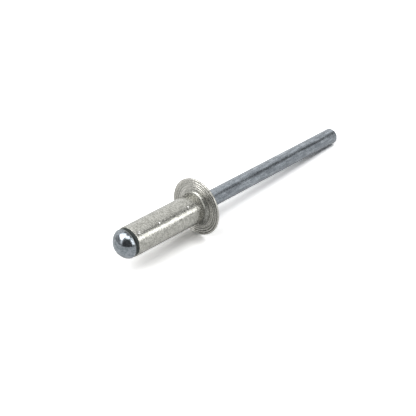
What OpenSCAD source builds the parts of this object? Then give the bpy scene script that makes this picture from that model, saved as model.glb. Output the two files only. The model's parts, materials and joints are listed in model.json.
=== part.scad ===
// Blind rivet before setting: a flanged tube with a headed mandrel through its bore.
// It lies as it comes to rest, on the rim of the flange and on the tail of the mandrel.
// Lengths are in millimetres. The outlines are drawn as radius and station along the axis:
// station 0 is the clamping face of the flange, and stations grow towards the mandrel's tail.

/* [Rivet body] */
// Outside diameter of the tube
body_diameter = 4; // [3.8:0.1:5]
// Length of the tube, from the clamping face of the flange to its open end
body_length = 12; // [8:0.5:20]
// Radius that rounds the outer edge of the tube's open end
end_round = 0.1; // [0.05:0.05:0.3]
// Radius of the fillet between the tube and the clamping face
root_fillet = 0.5; // [0.2:0.05:0.7]

/* [Flange] */
// Diameter of the flange
flange_diameter = 7.8; // [7:0.1:9]
// Height of the domed crown above the clamping face
crown_height = 1; // [0.9:0.05:1.6]
// Thickness of the flange at its rim
rim_thickness = 0.32; // [0.3:0.02:0.5]
// Radius that rounds both corners of the rim
rim_round = 0.14; // [0.04:0.02:0.14]
// Length of the crimped land in the crown that grips the mandrel
crimp_length = 0.5; // [0.2:0.05:0.8]

/* [Mandrel] */
// Diameter of the mandrel's shank
mandrel_diameter = 2.2; // [1.8:0.05:2.4]
// Length of mandrel that stands out of the crown
mandrel_projection = 27.7; // [22:0.1:34]
// Length of the chamfer at the tail
tail_chamfer_length = 0.35; // [0.1:0.05:1]
// Depth of the chamfer at the tail, measured across the axis
tail_chamfer_depth = 0.25; // [0.1:0.05:0.6]

/* [Mandrel head] */
// Diameter of the head at its rim
head_diameter = 3.86; // [3.4:0.02:4]
// Height of the dome above the rim
dome_height = 1.3; // [0.8:0.05:1.7]
// Width of the straight band round the rim
head_band = 0.12; // [0.05:0.01:0.3]
// Gap between the rim of the head and the end of the tube
head_gap = 0.5; // [0.3:0.05:0.8]
// Width of the conical seat that the head has in the end of the tube
seat_width = 0.15; // [0.05:0.05:0.3]

/* [Break notch] */
// Distance from the end of the tube to the middle of the notch
notch_distance = 1.4; // [0.8:0.1:4]
// Depth of each cut
notch_depth = 0.3; // [0.1:0.05:0.4]
// Angle between the two faces of each cut
notch_angle = 70; // [50:5:90]
// Number of cuts round the shank
notch_sides = 4; // [2:1:4]

/* [Fits] */
// Clearance round the shank in the bore, on the radius
bore_clearance = 0.05; // [0.02:0.01:0.1]
// Clearance round the shank in the crimped land, on the radius
crimp_clearance = 0.01; // [0.01:0.005:0.02]
// Clearance between the head's conical underside and its seat, along the axis
seat_clearance = 0.01; // [0.01:0.005:0.02]

/* [Hidden] */
$fn = 96;

body_r = body_diameter / 2;
flange_r = flange_diameter / 2;
mandrel_r = mandrel_diameter / 2;
bore_r = mandrel_r + bore_clearance;
crimp_r = mandrel_r + crimp_clearance;

// How far a cutting shape reaches past the face that it cuts
cut_margin = 1;

// The rim's two corner arcs have their centres on one radius, and the crown's arc is tangent
// to the upper one.
corner_r = flange_r - rim_round;
upper_corner = rim_thickness - rim_round;
crown_rise = crown_height - upper_corner;
crown_r = (corner_r ^ 2 + crown_rise ^ 2 - rim_round ^ 2) / (2 * (crown_rise - rim_round));
crown_centre = crown_height - crown_r;
tangent_share = rim_round / (crown_r - rim_round);
tangent_r = corner_r * (1 + tangent_share);
tangent_station = upper_corner + (upper_corner - crown_centre) * tangent_share;

// The head's underside is a cone that rests on the inner edge of the tube's end.
head_r = head_diameter / 2;
seat_r = bore_r + seat_width;
cone_slope = head_gap / (head_r - seat_r);
tube_end = -body_length;
seat_bottom = tube_end + seat_clearance + cone_slope * seat_width;
head_rim = tube_end - head_gap;
dome_base = head_rim - head_band;
dome_r = (head_r ^ 2 + dome_height ^ 2) / (2 * dome_height);
dome_centre = dome_base - dome_height + dome_r;

// The tail
tail_end = crown_height + mandrel_projection;
tail_shoulder = tail_end - tail_chamfer_length;
tail_tip_r = mandrel_r - tail_chamfer_depth;

// At rest the part touches the ground at the upper corner of the rim and at the tail's shoulder.
rest_run = tail_shoulder - upper_corner;
rest_rise = corner_r - mandrel_r;
rest_tilt = atan2(rest_rise, rest_run) + asin(rim_round / norm([rest_run, rest_rise]));
rest_height = upper_corner * sin(rest_tilt) + corner_r * cos(rest_tilt) + rim_round;

// The origin lies under the middle of the part's length.
head_reach = dome_centre * cos(rest_tilt) - dome_r;
tail_reach = tail_end * cos(rest_tilt) + tail_tip_r * sin(rest_tilt);
rest_middle = (head_reach + tail_reach) / 2;

// Half outline of the flange: a flat clamping face, a rounded rim and a domed crown
module flange_outline() {
    intersection() {
        translate([0, crown_centre]) circle(r = crown_r, $fn = 360);
        polygon([
            [0, 0], [corner_r, 0], [corner_r, upper_corner], [tangent_r, tangent_station],
            [tangent_r, crown_height], [0, crown_height]
        ]);
    }
    translate([corner_r, upper_corner]) circle(r = rim_round);
    translate([corner_r, rim_round]) circle(r = rim_round);
    translate([corner_r - rim_round, rim_round])
        square([2 * rim_round, upper_corner - rim_round]);
}

// Half outline of the tube, with its open end rounded and a fillet at its root
module tube_outline() {
    translate([0, tube_end]) square([body_r - end_round, body_length]);
    translate([0, tube_end + end_round]) square([body_r, body_length - end_round]);
    translate([body_r - end_round, tube_end + end_round]) circle(r = end_round);
    difference() {
        translate([0, -root_fillet]) square([body_r + root_fillet, root_fillet]);
        translate([body_r + root_fillet, -root_fillet]) circle(r = root_fillet);
    }
}

// Half outline of everything that is cut out of the body along its axis
module bore_outline() {
    translate([0, tube_end - cut_margin])
        square([bore_r, cut_margin + body_length + crown_height - crimp_length]);
    square([crimp_r, crown_height + cut_margin]);
    polygon([
        [0, seat_bottom - cut_margin], [bore_r + cut_margin / cone_slope, seat_bottom - cut_margin],
        [bore_r, seat_bottom], [0, seat_bottom]
    ]);
}

// Half outline of the mandrel: a domed head on a conical neck, a plain shank and a chamfered tail
module mandrel_outline() {
    intersection() {
        translate([0, dome_centre]) circle(r = dome_r, $fn = 360);
        translate([0, dome_base - dome_height]) square([head_r, dome_height]);
    }
    translate([0, dome_base]) square([head_r, head_band]);
    polygon([
        [0, head_rim], [head_r, head_rim],
        [mandrel_r, tube_end + cone_slope * (seat_r - mandrel_r)],
        [mandrel_r, tail_shoulder], [tail_tip_r, tail_end], [0, tail_end]
    ]);
}

// One V cut across the shank, with its root at the depth of the notch
module notch_cut() {
    cut_reach = notch_depth + cut_margin;
    half_width = cut_reach * tan(notch_angle / 2);
    root_r = mandrel_r - notch_depth;
    translate([0, mandrel_r, 0])
        rotate([90, 0, 0])
            linear_extrude(height = 2 * mandrel_r)
                polygon([[root_r, 0], [root_r + cut_reach, -half_width], [root_r + cut_reach, half_width]]);
}

// Turns a shape built along Z into the way that the part lies, with its tail towards +X
module as_it_rests() {
    translate([-rest_middle, 0, rest_height])
        rotate([0, 90 + rest_tilt, 0])
            children();
}

// The flanged tube
module rivet_body() {
    color([0.66, 0.65, 0.62])
        as_it_rests()
            rotate_extrude()
                difference() {
                    union() {
                        flange_outline();
                        tube_outline();
                    }
                    bore_outline();
                }
}

// The headed pin, with its break notch just inside the tube
module mandrel() {
    color([0.52, 0.55, 0.6])
        as_it_rests()
            difference() {
                rotate_extrude() mandrel_outline();
                translate([0, 0, tube_end + notch_distance])
                    for (side = [0 : notch_sides - 1])
                        rotate([0, 0, side * 360 / notch_sides]) notch_cut();
            }
}

rivet_body();
mandrel();
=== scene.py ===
import json
import logging
import math
from dataclasses import dataclass, field
from enum import Enum
from typing import Any, Iterable, Sequence

import bpy
from mathutils import Euler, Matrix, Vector

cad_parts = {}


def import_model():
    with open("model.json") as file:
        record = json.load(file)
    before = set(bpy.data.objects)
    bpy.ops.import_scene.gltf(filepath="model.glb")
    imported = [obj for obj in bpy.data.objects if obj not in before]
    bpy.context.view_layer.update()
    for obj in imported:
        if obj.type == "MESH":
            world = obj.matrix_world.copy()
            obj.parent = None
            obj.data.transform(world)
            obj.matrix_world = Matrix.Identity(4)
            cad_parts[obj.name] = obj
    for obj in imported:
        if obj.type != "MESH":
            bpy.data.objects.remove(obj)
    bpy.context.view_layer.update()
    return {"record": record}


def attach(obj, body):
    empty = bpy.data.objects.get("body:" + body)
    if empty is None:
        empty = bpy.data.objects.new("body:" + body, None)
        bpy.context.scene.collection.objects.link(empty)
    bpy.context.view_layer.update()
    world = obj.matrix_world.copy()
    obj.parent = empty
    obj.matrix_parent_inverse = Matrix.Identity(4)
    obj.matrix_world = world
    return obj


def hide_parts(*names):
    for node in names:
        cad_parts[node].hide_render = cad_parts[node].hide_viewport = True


LOG = logging.getLogger("rivet")

MM = 0.001
FRAME_PIXELS = 416
Point = tuple[float, float]
Colour = tuple[float, float, float]


class Slot(Enum):
    """Material slots of the record."""

    ALUMINIUM = "tumbled_aluminium"
    ZINC = "zinc_plated_steel"


class Ray(Enum):
    """Kinds of ray, by their names on the Light Path node."""

    CAMERA = "Is Camera Ray"
    GLOSSY = "Is Glossy Ray"
    TRANSMISSION = "Is Transmission Ray"


class Sock:
    """One output socket, so that arithmetic on it is written as Python arithmetic."""

    def __init__(self, graph: "Graph", socket: bpy.types.NodeSocket) -> None:
        """Keeps the graph and its socket.

        Args:
            graph: The graph that new nodes are added to.
            socket: The output socket that this object stands for.
        """
        self.graph = graph
        self.socket = socket

    def maths(self, operation: str, *others: Any) -> "Sock":
        """Adds a Math node with this socket as its first value.

        Args:
            operation: The Math node's operation.
            others: Further values, as numbers or sockets.

        Returns:
            The result.
        """
        return self.graph.maths(operation, self, *others)

    def __add__(self, other: Any) -> "Sock":
        """Sum."""
        return self.maths("ADD", other)

    def __radd__(self, other: Any) -> "Sock":
        """Sum, with the number first."""
        return self.graph.maths("ADD", other, self)

    def __sub__(self, other: Any) -> "Sock":
        """Difference."""
        return self.maths("SUBTRACT", other)

    def __rsub__(self, other: Any) -> "Sock":
        """Difference, with the number first."""
        return self.graph.maths("SUBTRACT", other, self)

    def __mul__(self, other: Any) -> "Sock":
        """Product."""
        return self.maths("MULTIPLY", other)

    def __rmul__(self, other: Any) -> "Sock":
        """Product, with the number first."""
        return self.graph.maths("MULTIPLY", other, self)

    def __truediv__(self, other: Any) -> "Sock":
        """Quotient."""
        return self.maths("DIVIDE", other)

    def __neg__(self) -> "Sock":
        """Opposite."""
        return self.graph.maths("SUBTRACT", 0.0, self)

    def upto(self, other: Any) -> "Sock":
        """The smaller of two values."""
        return self.maths("MINIMUM", other)

    def atleast(self, other: Any) -> "Sock":
        """The larger of two values."""
        return self.maths("MAXIMUM", other)


class Graph:
    """Adds nodes to one shader tree or geometry tree."""

    def __init__(self, tree: bpy.types.NodeTree) -> None:
        """Keeps the tree.

        Args:
            tree: The tree that the nodes go in.
        """
        self.tree = tree

    def node(
        self,
        kind: str,
        settings: dict[str, Any] | None = None,
        inputs: dict[str | int, Any] | None = None,
    ) -> bpy.types.Node:
        """Adds one node.

        Args:
            kind: The node's type, such as ShaderNodeTexNoise.
            settings: Its properties, which are set first.
            inputs: Values or links of its sockets, by identifier, name or number.

        Returns:
            The node.
        """
        made = self.tree.nodes.new(kind)
        for name, value in (settings or {}).items():
            setattr(made, name, value)
        for key, value in (inputs or {}).items():
            self._feed(self._socket(made.inputs, key), value)
        return made

    def out(self, made: bpy.types.Node, key: str | int = 0) -> Sock:
        """One output of a node, by identifier, name or number."""
        return Sock(self, self._socket(made.outputs, key))

    def value(
        self,
        kind: str,
        settings: dict[str, Any] | None = None,
        inputs: dict[str | int, Any] | None = None,
        key: str | int = 0,
    ) -> Sock:
        """Adds one node and gives one of its outputs.

        Args:
            kind: The node's type.
            settings: Its properties.
            inputs: Values or links of its sockets.
            key: The output that is wanted.

        Returns:
            The output.
        """
        return self.out(self.node(kind, settings, inputs), key)

    def maths(self, operation: str, *values: Any) -> Sock:
        """Adds a Math node.

        Args:
            operation: Its operation.
            values: Its values, as numbers or sockets.

        Returns:
            The result.
        """
        return self.value("ShaderNodeMath", {"operation": operation}, dict(enumerate(values)))

    def smooth(self, value: Any, low: float, high: float) -> Sock:
        """A smooth step from 0 at low to 1 at high. It falls where low is the larger."""
        rising = low < high
        ends = (low, high) if rising else (high, low)
        step = self.value(
            "ShaderNodeMapRange",
            {"interpolation_type": "SMOOTHSTEP"},
            {"Value": value, "From Min": ends[0], "From Max": ends[1]},
        )
        return step if rising else 1.0 - step

    def mix(self, share: Any, first: Any, second: Any) -> Sock:
        """Blends two colours by a share from 0 to 1."""
        return self.value(
            "ShaderNodeMix",
            {"data_type": "RGBA", "clamp_factor": True},
            {"Factor_Float": share, "A_Color": first, "B_Color": second},
            "Result_Color",
        )

    def vector(self, x: Any, y: Any, z: Any) -> Sock:
        """Joins three values into a vector."""
        return self.value("ShaderNodeCombineXYZ", None, {"X": x, "Y": y, "Z": z})

    def parts(self, vector: Any) -> tuple[Sock, Sock, Sock]:
        """Splits a vector into its three values."""
        made = self.node("ShaderNodeSeparateXYZ", None, {"Vector": vector})
        return self.out(made, "X"), self.out(made, "Y"), self.out(made, "Z")

    def noise(self, vector: Any, scale: float, detail: float = 3.0, roughness: float = 0.5) -> Sock:
        """Smooth noise between 0 and 1.

        Args:
            vector: Where the noise is read.
            scale: How many blobs there are to a unit of the vector.
            detail: How many finer layers are added.
            roughness: How strong the finer layers are.

        Returns:
            The noise.
        """
        return self.value(
            "ShaderNodeTexNoise",
            {"noise_dimensions": "3D", "normalize": True},
            {"Vector": vector, "Scale": scale, "Detail": detail, "Roughness": roughness},
            "Fac",
        )

    def _socket(self, sockets: Iterable[bpy.types.NodeSocket], key: str | int) -> bpy.types.NodeSocket:
        """Finds a socket by its number, its identifier or its name."""
        listed = list(sockets)
        if isinstance(key, int):
            return listed[key]
        for attribute in ("identifier", "name"):
            found = [s for s in listed if getattr(s, attribute) == key and s.enabled]
            if found:
                return found[0]
        raise KeyError(f"no socket {key!r} among {[s.identifier for s in listed]}")

    def _feed(self, socket: bpy.types.NodeSocket, value: Any) -> None:
        """Links a socket or sets its value."""
        if isinstance(value, Sock):
            self.tree.links.new(value.socket, socket)
        elif socket.type == "RGBA" and len(value) == 3:
            socket.default_value = (*value, 1.0)
        else:
            socket.default_value = value


@dataclass
class Outline:
    """Half outline of a turned piece: stretches of points, each a radius and a station in millimetres."""

    stretches: list[list[Point]] = field(default_factory=list)
    eases: list[float] = field(default_factory=list)

    def line(self, start: Point, end: Point, step: float, ease: float = 0.0) -> None:
        """Adds a straight stretch.

        Args:
            start: Its first point.
            end: Its last point.
            step: The greatest distance between its points.
            ease: How far from the corner at its start the rounding reaches.
        """
        count = max(2, math.ceil(math.dist(start, end) / step) + 1)
        shares = [i / (count - 1) for i in range(count)]
        points = [tuple(a + (b - a) * share for a, b in zip(start, end)) for share in shares]
        self.add(points, ease)

    def arc(self, centre: Point, radius: float, turn: Point, count: int, ease: float = 0.0) -> None:
        """Adds an arc.

        Args:
            centre: Its centre.
            radius: Its radius.
            turn: Its first and last angle in radians, measured from the radius axis.
            count: How many steps it has.
            ease: How far from the corner at its start the rounding reaches.
        """
        angles = [turn[0] + (turn[1] - turn[0]) * i / count for i in range(count + 1)]
        points = [
            (centre[0] + radius * math.cos(angle), centre[1] + radius * math.sin(angle))
            for angle in angles
        ]
        self.add(points, ease)

    def points(self, closed: bool) -> list[Point]:
        """Joins the stretches, with a small curve at each corner that has an ease.

        Args:
            closed: Whether the last stretch ends where the first one starts.

        Returns:
            The points in order. On a closed outline the first point comes again at the end.
        """
        joined: list[Point] = []
        total = len(self.stretches)
        for number, stretch in enumerate(self.stretches):
            following = (number + 1) % total
            after = self.eases[following] if closed or following else 0.0
            trimmed = self._trim(stretch, self.eases[number])
            trimmed = self._trim(trimmed[::-1], after)[::-1]
            if self.eases[number] and joined:
                joined += self._curve(joined[-1], stretch[0], trimmed[0])
            joined += trimmed if not joined or joined[-1] != trimmed[0] else trimmed[1:]
        if closed:
            if self.eases[0]:
                joined += self._curve(joined[-1], self.stretches[0][0], joined[0])
            joined.append(joined[0])
        return joined

    def add(self, points: list[Point], ease: float = 0.0) -> None:
        """Keeps one stretch and the ease at its start."""
        self.stretches.append(points)
        self.eases.append(ease)

    def _trim(self, points: list[Point], length: float) -> list[Point]:
        """Cuts a length off the start of a stretch."""
        if not length:
            return points
        left = length
        for number, (a, b) in enumerate(zip(points, points[1:])):
            reach = math.dist(a, b)
            if reach > left:
                share = left / reach
                first = tuple(p + (q - p) * share for p, q in zip(a, b))
                return [first, *points[number + 1:]]
            left -= reach
        raise ValueError("the rounding reaches past the end of its stretch")

    def _curve(self, start: Point, corner: Point, end: Point, steps: int = 5) -> list[Point]:
        """Points inside a corner, between the two ends of its rounding."""
        inner = []
        for i in range(1, steps):
            t = i / steps
            inner.append(
                tuple(
                    (1 - t) ** 2 * a + 2 * t * (1 - t) * b + t ** 2 * c
                    for a, b, c in zip(start, corner, end)
                )
            )
        return inner


@dataclass
class Axis:
    """The rivet's own axis as the frame gives it: station 0 is the clamping face."""

    origin: Vector
    slope: float

    @classmethod
    def of(cls, record: dict[str, Any]) -> "Axis":
        """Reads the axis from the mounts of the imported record.

        Args:
            record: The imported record.

        Returns:
            The axis.
        """
        mounts = {mount["name"]: mount for mount in record["mounts"]}
        face = Vector(mounts["clamping_face"]["pos_m"])
        tailwards = Vector(mounts["mandrel_shank"]["axis"])
        return cls(Vector((face.x, 0.0, face.z)), math.atan2(-tailwards.z, tailwards.x))

    def turn(self) -> Euler:
        """Turns a piece built along X into the way that the part lies."""
        return Euler((0.0, self.slope, 0.0))


@dataclass(frozen=True)
class Dent:
    """A small knock in the tube's wall, in millimetres.

    Its turn is the angle from straight up towards -Y, and fresh is how much bare metal it shows.
    """

    station: float
    turn_deg: float
    radius: float
    depth: float
    stretch: float = 1.0
    fresh: float = 0.0

    def distance(self, graph: Graph, place: tuple[Sock, Sock, Sock]) -> Sock:
        """How far a place is from the middle of the dent, where 1 is its edge.

        Args:
            graph: The graph of the shader or of the geometry.
            place: The place on the rivet in millimetres, as station, across and up.

        Returns:
            The distance.
        """
        along, across, up = place
        ahead = (along - self.station) / (self.radius * self.stretch)
        turn = graph.maths("ARCTAN2", -across, up) - math.radians(self.turn_deg)
        aside = turn * graph.maths("SQRT", across * across + up * up) / self.radius
        return graph.maths("SQRT", ahead * ahead + aside * aside)


@dataclass(frozen=True)
class TumbledAluminium:
    """Satin aluminium that was tumbled in bulk: mottled and knocked, with painted shade in its root
    corner, turned rings and open end.

    A turn is an angle round the axis in degrees, from straight up towards -Y.
    """

    dark: Colour = (0.30, 0.30, 0.272)
    light: Colour = (0.56, 0.558, 0.518)
    face_light: Colour = (0.92, 0.9, 0.855)
    fresh: Colour = (0.96, 0.96, 0.94)
    # Painted shade: a dark matt colour for the root corner and the turned rings.
    shade_tint: Colour = (0.085, 0.088, 0.078)
    # Painted shade colour for the tube's open end in the gap under the head.
    gap_shade_tint: Colour = (0.15, 0.17, 0.165)
    roughness: float = 0.24
    tube_radius: float = 2.0
    tube_end: float = -12.0
    face_radius: float = 3.76
    root_fillet: float = 0.5
    # The side round the axis, in degrees, where the painted shade is darkest.
    root_shade_turn: float = 100.0
    # Width of the end face's outer lip, which keeps no painted shade.
    unshaded_lip: float = 0.16

    def material(self, axis: Axis, dents: Sequence[Dent]) -> bpy.types.Material:
        """Builds the finish.

        Args:
            axis: The rivet's axis, which the turned rings are centred on.
            dents: Knocks, some of which show fresh metal.

        Returns:
            The material.
        """
        made, graph, where = new_material(Slot.ALUMINIUM, axis)
        along, across, up = graph.parts(where)
        radius = graph.maths("SQRT", across * across + up * up)
        blotch = graph.noise(where, 1.5, 3.0, 0.6)
        grain = graph.noise(where, 5.0, 3.0, 0.7)
        tone = graph.smooth(blotch * 0.35 + grain * 0.65, 0.38, 0.62)
        colour = graph.mix(tone, self.dark, self.light)

        on_face = graph.smooth(radius, self.tube_radius + 0.3, self.tube_radius + 0.6)
        on_face = on_face * graph.smooth(along, -0.3, -0.05) * graph.smooth(along, 0.3, 0.1)
        fine_rings = graph.noise(graph.vector(radius, along * 0.2, across * 0.03), 9.0, 3.0, 0.7)
        ring_colour = graph.mix(graph.smooth(fine_rings, 0.35, 0.65), self.dark, self.face_light)
        colour = graph.mix(on_face * 0.7, colour, ring_colour)
        for dent in dents:
            if dent.fresh:
                knocked = graph.smooth(dent.distance(graph, (along, across, up)), 0.95, 0.5)
                colour = graph.mix(knocked * dent.fresh, colour, self.fresh)
        # Painted shade: the root corner, the turned rings and the open end are darkened and made matt.
        shade_share = self._painted_shade(graph, where, radius, blotch)
        mouth = self._mouth(graph, along, radius, up)
        colour = graph.mix(shade_share, colour, self.shade_tint)
        colour = graph.mix(mouth, colour, self.gap_shade_tint)

        scratch = graph.noise(graph.vector(along * 1.2, across * 5.0, up * 5.0), 3.0, 3.0, 0.6)
        dimple = graph.noise(where, 2.6, 2.0, 0.5)
        height = dimple * 0.018 + scratch * 0.005 + grain * 0.006 + fine_rings * on_face * 0.095
        normal = graph.value(
            "ShaderNodeBump", None, {"Strength": 1.0, "Distance": MM, "Height": height}, "Normal"
        )
        rough = graph.smooth(grain, 0.25, 0.75) * 0.12 + (self.roughness - 0.05)
        finish_surface(graph, colour, 1.0 - shade_share.atleast(mouth), rough, normal)
        return made

    def _painted_shade(self, graph: Graph, where: Sock, radius: Sock, blotch: Sock) -> Sock:
        """Where painted shade sits: in the root corner and in the turned rings, darker on one side.

        Args:
            graph: The material's graph.
            where: The place on the rivet.
            radius: Its distance from the axis.
            blotch: Coarse noise that frays the edges.

        Returns:
            The share of painted shade, from 0 to 1.
        """
        along, across, up = graph.parts(where)
        aside = radius - self.tube_radius
        corner = graph.maths("SQRT", aside * aside + along * along)
        turn = math.radians(self.root_shade_turn)
        facing = (up * math.cos(turn) - across * math.sin(turn)) / radius
        # Painted shade in the root corner between tube and flange, darker on the side that the turn
        # faces.
        root = graph.smooth(corner + (blotch - 0.5) * 0.8, 0.95, 0.3)
        root = root * (graph.smooth(facing, 0.1, 0.8) * 0.35 + 0.1)

        face_start = self.tube_radius + self.root_fillet
        on_flange = graph.smooth(radius, face_start, face_start + 0.1)
        on_flange = on_flange * graph.smooth(radius, self.face_radius + 0.03, self.face_radius - 0.01)
        # Painted shade in the bottoms of the deeper turned rings, darker on the same side as the root
        # corner.
        groove_shade = graph.smooth(along, 0.036, 0.056) * graph.smooth(along, 0.14, 0.1) * on_flange
        groove_shade = groove_shade * (graph.smooth(facing, -0.2, 0.6) * 0.75 + 0.1)
        return root.atleast(groove_shade)

    def _mouth(self, graph: Graph, along: Sock, radius: Sock, up: Sock) -> Sock:
        """Painted shade on the tube's open end inside its unshaded lip, in the gap under the head,
        lighter towards the bottom.
        """
        end = graph.smooth(along, self.tube_end + 0.06, self.tube_end + 0.01)
        lip = self.tube_radius - self.unshaded_lip
        inside = graph.smooth(radius, lip + 0.04, lip - 0.04)
        return end * inside * (graph.smooth(up, -1.9, -0.9) * 0.5 + 0.5)


@dataclass(frozen=True)
class ZincPlate:
    """Bright blue-grey zinc: glossy on the pressed head, drawn lengthwise on the shank."""

    dark: Colour = (0.20, 0.224, 0.246)
    light: Colour = (0.375, 0.41, 0.445)
    streak: Colour = (0.165, 0.18, 0.2)
    stain: Colour = (0.13, 0.165, 0.16)
    # Painted shade colour for the head's band and underside in the gap.
    shade_tint: Colour = (0.15, 0.17, 0.17)
    head_roughness: float = 0.1
    shank_roughness: float = 0.25
    rim_station: float = -12.5
    band: float = 0.09
    tube_end: float = -12.0

    def material(self, axis: Axis) -> bpy.types.Material:
        """Builds the finish.

        Args:
            axis: The rivet's axis, which the drawn lines follow.

        Returns:
            The material.
        """
        made, graph, where = new_material(Slot.ZINC, axis)
        along, across, up = graph.parts(where)
        on_shank = graph.smooth(along, self.tube_end - 0.2, self.tube_end + 0.2)
        drawn = graph.noise(graph.vector(along * 0.12, across, up), 3.2, 4.0, 0.6)
        blotch = graph.noise(graph.vector(along * 0.6, across, up), 1.8, 4.0, 0.65)
        grain = graph.noise(where, 5.0, 3.0, 0.6)
        tone = graph.smooth(blotch * 0.45 + grain * 0.3 + drawn * 0.25, 0.4, 0.6)
        colour = graph.mix(tone, self.dark, self.light)
        streaks = graph.noise(graph.vector(along * 0.09, across, up), 3.6, 3.0, 0.6)
        colour = graph.mix(graph.smooth(streaks, 0.42, 0.58) * on_shank * 0.6, colour, self.streak)
        stains = graph.smooth(graph.noise(where, 1.6, 4.0, 0.7), 0.5, 0.6)
        colour = graph.mix(stains * (1.0 - on_shank) * 0.35, colour, self.stain)
        # Painted shade on the head's band and underside, in the gap under the tube's end, lighter towards
        # the bottom; it is also made matt.
        band = graph.smooth(along, self.rim_station - self.band - 0.04, self.rim_station - self.band)
        shade_share = band * (1.0 - on_shank) * (graph.smooth(up, -1.9, -0.9) * 0.6 + 0.4)
        colour = graph.mix(shade_share, colour, self.shade_tint)

        lines = graph.noise(graph.vector(along * 0.05, across, up), 9.0, 3.0, 0.6)
        height = on_shank * (lines * 0.008 + drawn * 0.016) + blotch * 0.01 + grain * 0.004
        normal = graph.value(
            "ShaderNodeBump", None, {"Strength": 1.0, "Distance": MM, "Height": height}, "Normal"
        )
        spread = self.shank_roughness - self.head_roughness
        rough = on_shank * spread + self.head_roughness + graph.smooth(grain, 0.2, 0.8) * 0.06
        finish_surface(graph, colour, 1.0 - shade_share, rough, normal)
        return made


def new_material(slot: Slot, axis: Axis) -> tuple[bpy.types.Material, Graph, Sock]:
    """Starts a material whose coordinates run along the rivet, in millimetres.

    Args:
        slot: The record's slot, which names the material.
        axis: The rivet's axis.

    Returns:
        The material, its graph, and the place on the rivet as station, across and up.
    """
    made = bpy.data.materials.new(slot.value)
    made.use_nodes = True
    made.node_tree.nodes.clear()
    graph = Graph(made.node_tree)
    where = graph.value("ShaderNodeTexCoord", None, None, "Object")
    turned = graph.value(
        "ShaderNodeMapping",
        {"vector_type": "TEXTURE"},
        {
            "Vector": where,
            "Location": axis.origin,
            "Rotation": axis.turn(),
            "Scale": (MM, MM, MM),
        },
    )
    return made, graph, turned


def finish_surface(graph: Graph, colour: Sock, bare: Sock, roughness: Sock, normal: Sock) -> None:
    """Ends a metal's tree in its shader and output.

    Args:
        graph: The material's graph.
        colour: The surface's colour.
        bare: How much of it is bare metal, and not matt painted shade.
        roughness: Its roughness.
        normal: Its bumped normal.
    """
    shader = graph.value(
        "ShaderNodeBsdfPrincipled",
        None,
        {"Base Color": colour, "Metallic": bare, "Roughness": roughness, "Normal": normal},
    )
    graph.node("ShaderNodeOutputMaterial", None, {"Surface": shader})


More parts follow.
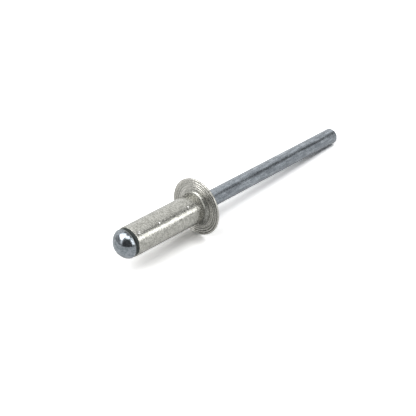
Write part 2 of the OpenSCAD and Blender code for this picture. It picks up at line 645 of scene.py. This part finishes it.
@dataclass
class Turning:
    """A Geometry Nodes tree that turns a half outline into a closed piece and lays it down.

    The surface wanders inwards by up to its unevenness, in millimetres, and the seed says where.
    """

    name: str
    axis: Axis
    material: bpy.types.Material
    segments: int
    unevenness: float
    seed: float

    def make(self, outline: list[Point], dents: Sequence[Dent] = (),
             notch: "Notch | None" = None) -> bpy.types.Object:
        """Builds the piece as a plain mesh.

        Args:
            outline: Its half outline, as radius and station in millimetres.
            dents: Knocks in its wall.
            notch: Cuts across its shank.

        Returns:
            The piece, at the origin, with its place in its mesh.
        """
        profile = bpy.data.meshes.new(self.name + "_outline")
        profile.from_pydata([(radius * MM, 0.0, station * MM) for radius, station in outline], [], [])
        holder = bpy.data.objects.new(self.name, profile)
        bpy.context.scene.collection.objects.link(holder)
        tree, keys = self._tree(dents, notch)
        modifier = holder.modifiers.new("turning", "NODES")
        modifier.node_group = tree
        modifier[keys["Segments"]] = self.segments
        modifier[keys["Unevenness"]] = self.unevenness * MM
        modifier[keys["Seed"]] = self.seed
        bpy.context.view_layer.update()
        evaluated = holder.evaluated_get(bpy.context.evaluated_depsgraph_get())
        mesh = bpy.data.meshes.new_from_object(evaluated)
        holder.modifiers.remove(modifier)
        holder.data = mesh
        mesh.name = self.name
        bpy.data.meshes.remove(profile)
        return holder

    def _tree(
        self, dents: Sequence[Dent], notch: "Notch | None"
    ) -> tuple[bpy.types.NodeTree, dict[str, str]]:
        """Builds the tree.

        Args:
            dents: Knocks in the wall.
            notch: Cuts across the shank.

        Returns:
            The tree, and the identifier of each named input.
        """
        tree = bpy.data.node_groups.new(self.name + "_turning", "GeometryNodeTree")
        sockets = {"Outline": "NodeSocketGeometry", "Segments": "NodeSocketInt",
                   "Unevenness": "NodeSocketFloat", "Seed": "NodeSocketFloat"}
        keys = {}
        for name, kind in sockets.items():
            keys[name] = tree.interface.new_socket(name, in_out="INPUT", socket_type=kind).identifier
        tree.interface.new_socket("Piece", in_out="OUTPUT", socket_type="NodeSocketGeometry")
        graph = Graph(tree)
        given = graph.node("NodeGroupInput")
        outline = graph.out(given, "Outline")
        segments = graph.out(given, "Segments")

        rows = graph.value("GeometryNodeAttributeDomainSize", {"component": "MESH"},
                           {"Geometry": outline}, "Point Count")
        grid = graph.value("GeometryNodeMeshGrid", None,
                           {"Size X": 1.0, "Size Y": 1.0, "Vertices X": rows, "Vertices Y": segments + 1})
        position = graph.value("GeometryNodeInputPosition")
        grid_x, grid_y, _ = graph.parts(position)
        row = ((grid_x + 0.5) * (rows - 1.0)).maths("ROUND")
        angle = (grid_y + 0.5) * math.tau
        on_outline = graph.value(
            "GeometryNodeSampleIndex", {"data_type": "FLOAT_VECTOR", "domain": "POINT"},
            {"Geometry": outline, "Value": position, "Index": row},
        )
        radius, _, station = graph.parts(on_outline)
        if notch:
            radius = notch.limit(graph, radius, station, angle)
        turned = graph.vector(station, radius * angle.maths("COSINE"), radius * angle.maths("SINE"))
        shape = graph.value("GeometryNodeSetPosition", None, {"Geometry": grid, "Position": turned})
        shape = graph.value("GeometryNodeMergeByDistance", None,
                            {"Geometry": shape, "Distance": 0.0002 * MM})
        shape = self._uneven(graph, given, shape, position)
        for dent in dents:
            shape = self._dented(graph, shape, position, dent)
        shape = graph.value("GeometryNodeTransform", None, {
            "Geometry": shape, "Translation": self.axis.origin, "Rotation": self.axis.turn(),
        })
        shape = graph.value("GeometryNodeSetShadeSmooth", None, {"Geometry": shape, "Shade Smooth": True})
        shape = graph.value("GeometryNodeRealizeInstances", None, {"Geometry": shape})
        shape = graph.value("GeometryNodeSetMaterial", None,
                            {"Geometry": shape, "Material": self.material})
        graph.node("NodeGroupOutput", None, {"Piece": shape})
        return tree, keys

    def _uneven(self, graph: Graph, given: bpy.types.Node, shape: Sock, position: Sock) -> Sock:
        """Lets the surface wander inwards by a little, as pressed and tumbled metal does."""
        x, y, z = graph.parts(position)
        seed = graph.out(given, "Seed")
        where = graph.vector(x / MM + seed, y / MM, z / MM)
        wander = graph.noise(where, 1.3, 2.0, 0.5) * graph.out(given, "Unevenness")
        return self._sunk(graph, shape, wander)

    def _dented(self, graph: Graph, shape: Sock, position: Sock, dent: Dent) -> Sock:
        """Presses one dent into the wall."""
        x, y, z = graph.parts(position)
        distance = dent.distance(graph, (x / MM, y / MM, z / MM))
        depth = graph.smooth(distance, 1.0, 0.0) * (dent.depth * MM)
        return self._sunk(graph, shape, depth)

    def _sunk(self, graph: Graph, shape: Sock, depth: Sock) -> Sock:
        """Moves the surface inwards along its own normal."""
        normal = graph.value("GeometryNodeInputNormal")
        offset = graph.value("ShaderNodeVectorMath", {"operation": "SCALE"},
                             {"Vector": normal, "Scale": -depth})
        return graph.value("GeometryNodeSetPosition", None, {"Geometry": shape, "Offset": offset})


@dataclass(frozen=True)
class Notch:
    """V cuts round the shank, which leave it weakest there."""

    station: float
    root: float
    half_angle: float
    sides: int = 4

    def limit(self, graph: Graph, radius: Sock, station: Sock, angle: Sock) -> Sock:
        """Limits the radius to the flanks of the nearest cut.

        Args:
            graph: The tree's graph.
            radius: The radius without cuts, in metres.
            station: The place along the axis, in metres.
            angle: The place round the axis, in radians.

        Returns:
            The radius with cuts.
        """
        pitch = math.tau / self.sides
        aside = graph.maths("FLOORED_MODULO", angle + pitch / 2, pitch) - pitch / 2
        away = (station - self.station * MM).maths("ABSOLUTE")
        flank = (away / math.tan(self.half_angle) + self.root * MM) / aside.maths("COSINE")
        return radius.upto(flank)


@dataclass
class RivetBody:
    """The flanged tube, in millimetres."""

    tube_radius: float
    tube_length: float = 12.0
    flange_radius: float = 3.9
    crown_height: float = 1.0
    rim_thickness: float = 0.32
    rim_round: float = 0.14
    end_round: float = 0.1
    root_fillet: float = 0.5
    bore_radius: float = 1.15
    crimp_radius: float = 1.11
    crimp_length: float = 0.5
    seat_width: float = 0.15
    seat_depth: float = 0.128
    edge: float = 0.03
    row_step: float = 0.07
    face_step: float = 0.015
    rings: int = 4
    ring_pitch: float = 0.31
    ring_reach: float = 0.13
    ring_depth: float = 0.075
    ring_margin: float = 0.14
    segments: int = 256
    unevenness: float = 0.012
    seed: float = 3.7
    dents: tuple[Dent, ...] = (
        Dent(-7.91, 37.0, 0.17, 0.05, 1.0, 0.9),
        Dent(-2.69, 33.5, 0.18, 0.06, 1.0, 1.0),
        Dent(-11.35, 33.0, 0.32, 0.06, 1.0, 0.6),
        Dent(-3.2, -118.0, 0.3, 0.02, 1.4),
        Dent(-8.1, 5.0, 0.35, 0.015, 1.2),
        Dent(-5.0, 155.0, 0.4, 0.03, 1.1),
        Dent(-6.6, -62.0, 0.3, 0.025, 1.5),
    )

    def outline(self) -> list[Point]:
        """Draws the closed half outline, from the crown outwards and back through the bore."""
        corner = self.flange_radius - self.rim_round
        upper = self.rim_thickness - self.rim_round
        rise = self.crown_height - upper
        crown = (corner ** 2 + rise ** 2 - self.rim_round ** 2) / (2 * (rise - self.rim_round))
        centre = self.crown_height - crown
        lean = math.atan2(upper - centre, corner)
        start = math.acos(self.crimp_radius / crown)
        top = centre + crown * math.sin(start)
        quarter = math.pi / 2
        end = -self.tube_length
        root = self.tube_radius + self.root_fillet

        drawn = Outline()
        drawn.arc((0.0, centre), crown, (start, lean), 36, self.edge)
        drawn.arc((corner, upper), self.rim_round, (lean, 0.0), 6)
        drawn.line((self.flange_radius, upper), (self.flange_radius, self.rim_round), 0.05)
        drawn.arc((corner, self.rim_round), self.rim_round, (0.0, -quarter), 6)
        drawn.add(self.turned_face(corner, root))
        drawn.arc((root, -self.root_fillet), self.root_fillet, (quarter, 2 * quarter), 12)
        drawn.line((self.tube_radius, -self.root_fillet), (self.tube_radius, end + self.end_round),
                   self.row_step)
        drawn.arc((self.tube_radius - self.end_round, end + self.end_round), self.end_round,
                  (0.0, -quarter), 8)
        seat = self.bore_radius + self.seat_width
        drawn.line((self.tube_radius - self.end_round, end), (seat, end), 0.06)
        drawn.line((seat, end), (self.bore_radius, end + self.seat_depth), 0.05, self.edge)
        drawn.line((self.bore_radius, end + self.seat_depth),
                   (self.bore_radius, self.crown_height - self.crimp_length), 0.6, self.edge)
        drawn.line((self.bore_radius, self.crown_height - self.crimp_length),
                   (self.crimp_radius, self.crown_height - self.crimp_length), 0.02)
        drawn.line((self.crimp_radius, self.crown_height - self.crimp_length),
                   (self.crimp_radius, top), 0.1)
        return drawn.points(closed=True)

    def turned_face(self, outer: float, inner: float) -> list[Point]:
        """Draws the clamping face with the shallow rings that were turned into it.

        Args:
            outer: Radius where the face meets the rim.
            inner: Radius where it meets the root fillet.

        Returns:
            Its points, from the outside inwards.
        """
        count = math.ceil((outer - inner) / self.face_step)
        points = []
        for i in range(count + 1):
            radius = outer + (inner - outer) * i / count
            depth = max(self.ring(radius, outer, number) for number in range(self.rings))
            points.append((radius, depth))
        return points

    def ring(self, radius: float, outer: float, number: int) -> float:
        """How deep one turned ring is at a radius.

        Args:
            radius: The radius.
            outer: Radius where the face meets the rim.
            number: The ring's number, from the outside inwards.

        Returns:
            Its depth, or 0 beside it.
        """
        middle = outer - self.ring_margin - number * self.ring_pitch - 0.02 * math.sin(5.0 * number)
        aside = min(1.0, abs(radius - middle) / self.ring_reach)
        depth = self.ring_depth / (1.0 + 0.25 * number)
        return depth * (0.5 + 0.5 * math.cos(math.pi * aside))

    def build(self, axis: Axis, finish: TumbledAluminium) -> bpy.types.Object:
        """Builds the tube and lets it stand for its node.

        Args:
            axis: The rivet's axis.
            finish: Its finish.

        Returns:
            The piece.
        """
        turning = Turning("rivet_body_skin", axis, finish.material(axis, self.dents),
                          self.segments, self.unevenness, self.seed)
        piece = turning.make(self.outline(), self.dents)
        return stand_in(piece, "rivet_body")


@dataclass
class Mandrel:
    """The headed pin, in millimetres."""

    shank_radius: float
    tube_length: float = 12.0
    crown_height: float = 1.0
    projection: float = 27.7
    chamfer_length: float = 0.35
    chamfer_depth: float = 0.25
    head_radius: float = 1.93
    dome_height: float = 1.3
    head_band: float = 0.12
    head_gap: float = 0.5
    seat_radius: float = 1.3
    notch_distance: float = 1.4
    notch_depth: float = 0.3
    notch_angle: float = 70.0
    edge: float = 0.035
    rim_edge: float = 0.08
    row_step: float = 0.18
    notch_rows: float = 0.4
    segments: int = 192
    unevenness: float = 0.008
    seed: float = 11.3

    def outline(self) -> list[Point]:
        """Draws the half outline, from the tail to the top of the dome."""
        tail = self.crown_height + self.projection
        tip = self.shank_radius - self.chamfer_depth
        rim = -self.tube_length - self.head_gap
        base = rim - self.head_band
        dome = (self.head_radius ** 2 + self.dome_height ** 2) / (2 * self.dome_height)
        centre = base - self.dome_height + dome
        slope = self.head_gap / (self.head_radius - self.seat_radius)
        neck = -self.tube_length + slope * (self.seat_radius - self.shank_radius)
        notch = self.notch_distance - self.tube_length

        drawn = Outline()
        drawn.line((0.0, tail), (tip, tail), 0.1)
        drawn.line((tip, tail), (self.shank_radius, tail - self.chamfer_length), 0.1, self.edge)
        above, below = notch + self.notch_rows, notch - self.notch_rows
        drawn.line((self.shank_radius, tail - self.chamfer_length), (self.shank_radius, above),
                   self.row_step, self.edge)
        drawn.line((self.shank_radius, above), (self.shank_radius, below), 0.05)
        drawn.line((self.shank_radius, below), (self.shank_radius, neck), 0.1)
        drawn.line((self.shank_radius, neck), (self.head_radius, rim), 0.06)
        drawn.line((self.head_radius, rim), (self.head_radius, base), 0.03, self.edge)
        rim_angle = math.acos(self.head_radius / dome)
        drawn.arc((0.0, centre), dome, (-rim_angle, -math.pi / 2), 48, self.rim_edge)
        return drawn.points(closed=False)

    def build(self, axis: Axis, finish: ZincPlate) -> bpy.types.Object:
        """Builds the pin and lets it stand for its node.

        Args:
            axis: The rivet's axis.
            finish: Its finish.

        Returns:
            The piece.
        """
        notch = Notch(self.notch_distance - self.tube_length, self.shank_radius - self.notch_depth,
                      math.radians(self.notch_angle / 2))
        turning = Turning("mandrel_skin", axis, finish.material(axis),
                          self.segments, self.unevenness, self.seed)
        piece = turning.make(self.outline(), (), notch)
        return stand_in(piece, "mandrel")


def stand_in(piece: bpy.types.Object, node: str) -> bpy.types.Object:
    """Lets a finished piece stand for its node, on the part's one body.

    Args:
        piece: The piece.
        node: The node that it stands for.

    Returns:
        The piece.
    """
    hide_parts(node)
    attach(piece, "root")
    LOG.info("%s stands for %s with %d faces", piece.name, node, len(piece.data.polygons))
    return piece


@dataclass(frozen=True)
class Field:
    """A bright or dark field of the studio, as the metal reflects it. Azimuth runs from +X to +Y."""

    azimuth: float
    elevation: float
    half_width: float
    half_height: float
    soft: float
    strength: float

    def share(self, graph: Graph, azimuth: Sock, elevation: Sock) -> Sock:
        """How much of the field lies in a direction.

        Args:
            graph: The world's graph.
            azimuth: The direction's azimuth in degrees.
            elevation: Its elevation in degrees.

        Returns:
            The share, from 0 to 1.
        """
        aside = graph.maths("FLOORED_MODULO", azimuth - self.azimuth + 180.0, 360.0) - 180.0
        above = elevation - self.elevation
        across = self._inside(graph, aside, self.half_width)
        return across * self._inside(graph, above, self.half_height)

    def _inside(self, graph: Graph, offset: Sock, reach: float) -> Sock:
        """A soft step from 1 inside the field to 0 outside it, one way."""
        return graph.smooth(offset.maths("ABSOLUTE"), reach + self.soft / 2, reach - self.soft / 2)


@dataclass(frozen=True)
class Glow:
    """A soft glow of the sky that lights the floor and gives the shadow its shape."""

    azimuth: float
    elevation: float
    tightness: float
    strength: float

    def light(self, graph: Graph, direction: tuple[Sock, Sock, Sock]) -> Sock:
        """How bright the glow is in a direction.

        Args:
            graph: The world's graph.
            direction: The direction's three parts.

        Returns:
            The brightness.
        """
        towards = heading(self.azimuth, self.elevation)
        near = direction[0] * towards.x + direction[1] * towards.y + direction[2] * towards.z
        return graph.maths("EXPONENT", (near - 1.0) * self.tightness) * self.strength


def heading(azimuth: float, elevation: float) -> Vector:
    """The direction with an azimuth and an elevation, both in degrees."""
    turn, rise = math.radians(azimuth), math.radians(elevation)
    return Vector((math.cos(rise) * math.cos(turn), math.cos(rise) * math.sin(turn), math.sin(rise)))


@dataclass(frozen=True)
class Lamp:
    """A round lamp that faces a spot on the part. Lengths are in metres."""

    name: str
    spot: tuple[float, float, float]
    azimuth: float
    elevation: float
    distance: float
    diameter: float
    radiance: float

    def build(self, lit: bpy.types.Object) -> None:
        """Places the lamp, which the metal mirrors and neither the camera nor the floor sees.

        Args:
            lit: The only piece that it lights.
        """
        lamp = bpy.data.lights.new(self.name, "AREA")
        lamp.shape = "DISK"
        lamp.size = self.diameter
        lamp.energy = self.radiance * (math.pi * self.diameter / 2) ** 2
        holder = bpy.data.objects.new(self.name, lamp)
        away = heading(self.azimuth, self.elevation)
        holder.location = Vector(self.spot) + away * self.distance
        holder.rotation_mode = "QUATERNION"
        holder.rotation_quaternion = away.to_track_quat("Z", "Y")
        holder.visible_camera = False
        holder.visible_diffuse = False
        bpy.context.scene.collection.objects.link(holder)
        receivers = bpy.data.collections.new(self.name + "_receivers")
        receivers.objects.link(lit)
        holder.light_linking.receiver_collection = receivers


@dataclass
class Studio:
    """White floor, white surroundings, lamps and camera. Lengths are in metres."""

    floor_size: float = 1.2
    floor_albedo: float = 0.95
    floor_seen: float = 1.7
    walls: float = 0.5
    camera_azimuth: float = -137.4
    camera_elevation: float = 36.7
    camera_distance: float = 0.1607
    camera_aim: tuple[float, float, float] = (-0.00636, -0.00125, 0.0038)
    focal_pixels: float = 1255.0
    sensor: float = 36.0
    fields: tuple[Field, ...] = (
        Field(30.0, -20.0, 75.0, 75.0, 8.0, 1.1),
        Field(-77.0, 32.0, 19.0, 26.0, 4.0, 2.4),
        Field(-22.0, 30.5, 18.0, 9.5, 4.0, 0.0),
        Field(-148.0, 26.0, 33.0, 27.0, 6.0, 0.13),
        Field(-113.0, 47.0, 6.0, 12.0, 4.0, 3.2),
        Field(-104.0, 27.0, 7.0, 12.0, 4.0, 3.2),
        Field(137.0, 52.0, 28.0, 22.0, 6.0, 4.2),
        Field(-158.0, 66.0, 38.0, 9.0, 6.0, 3.8),
        Field(166.0, 22.0, 5.0, 10.0, 4.0, 1.8),
        Field(0.0, -50.0, 180.0, 48.0, 3.0, 1.0),
    )
    glows: tuple[Glow, ...] = (
        Glow(176.0, 56.5, 17.4, 5.3),
        Glow(-45.5, 63.9, 41.5, 7.7),
        Glow(35.6, 25.4, 23.0, 5.2),
    )
    side_lamp: Lamp = Lamp("side_lamp", (-0.013, -0.0017, 0.0056), -48.0, 20.0, 0.08, 0.028, 3.0)

    def build(self, body: bpy.types.Object) -> None:
        """Sets the whole studio up.

        Args:
            body: The tube, which alone mirrors the lamp beside it.
        """
        scene = bpy.context.scene
        scene.view_settings.view_transform = "Standard"
        self._world(scene)
        self._floor(scene)
        self._camera(scene)
        self.side_lamp.build(body)

    def _world(self, scene: bpy.types.Scene) -> None:
        """White to the camera, a soft sky to the floor, and a studio with fields to the metal."""
        world = bpy.data.worlds.new("studio")
        world.use_nodes = True
        world.node_tree.nodes.clear()
        scene.world = world
        graph = Graph(world.node_tree)
        x, y, z = graph.parts(graph.value("ShaderNodeTexCoord", None, None, "Generated"))
        azimuth = graph.maths("ARCTAN2", y, x) * math.degrees(1.0)
        elevation = z.maths("ARCSINE") * math.degrees(1.0)
        level: Any = self.walls
        for field_ in self.fields:
            share = field_.share(graph, azimuth, elevation)
            level = share * (field_.strength - level) + level
        sky: Any = 0.0
        for glow in self.glows:
            sky = glow.light(graph, (x, y, z)) + sky
        path = graph.node("ShaderNodeLightPath")
        strength = graph.out(path, Ray.GLOSSY.value) * (level - sky) + sky
        direct = graph.out(path, Ray.CAMERA.value).atleast(graph.out(path, Ray.TRANSMISSION.value))
        strength = direct * (1.0 - strength) + strength
        background = graph.value("ShaderNodeBackground", None,
                                 {"Color": (1.0, 1.0, 1.0), "Strength": strength})
        graph.node("ShaderNodeOutputWorld", None, {"Surface": background})

    def _floor(self, scene: bpy.types.Scene) -> None:
        """A white floor that keeps the shadow, and is seen as plain white outside it."""
        half = self.floor_size / 2
        mesh = bpy.data.meshes.new("floor")
        corners = [(-half, -half, 0.0), (half, -half, 0.0), (half, half, 0.0), (-half, half, 0.0)]
        mesh.from_pydata(corners, [], [(0, 1, 2, 3)])
        floor = bpy.data.objects.new("floor", mesh)
        scene.collection.objects.link(floor)
        material = bpy.data.materials.new("white_floor")
        material.use_nodes = True
        material.node_tree.nodes.clear()
        graph = Graph(material.node_tree)
        seen = graph.value("ShaderNodeLightPath", None, None, Ray.CAMERA.value)
        white = seen * (self.floor_seen - self.floor_albedo) + self.floor_albedo
        colour = graph.vector(white, white, white)
        matt = graph.value("ShaderNodeBsdfDiffuse", None, {"Color": colour})
        graph.node("ShaderNodeOutputMaterial", None, {"Surface": matt})
        mesh.materials.append(material)

    def _camera(self, scene: bpy.types.Scene) -> None:
        """The photograph's viewpoint."""
        data = bpy.data.cameras.new("camera")
        data.sensor_width = self.sensor
        data.lens = self.focal_pixels / FRAME_PIXELS * self.sensor
        data.clip_start = 0.01
        data.clip_end = 10.0
        camera = bpy.data.objects.new("camera", data)
        back = heading(self.camera_azimuth, self.camera_elevation)
        camera.location = Vector(self.camera_aim) + back * self.camera_distance
        camera.rotation_mode = "QUATERNION"
        camera.rotation_quaternion = (-back).to_track_quat("-Z", "Y")
        scene.collection.objects.link(camera)
        scene.camera = camera


def main() -> None:
    """Builds the rivet and the studio round it."""
    logging.basicConfig(level=logging.INFO, format="%(message)s")
    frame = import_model()
    record = frame["record"]
    radii = {mount["name"]: mount["dims"].get("r_mm") for mount in record["mounts"]}
    axis = Axis.of(record)
    body = RivetBody(tube_radius=radii["body_shank"]).build(axis, TumbledAluminium())
    Mandrel(shank_radius=radii["mandrel_shank"]).build(axis, ZincPlate())
    Studio().build(body)


if __name__ == "__main__":
    main()
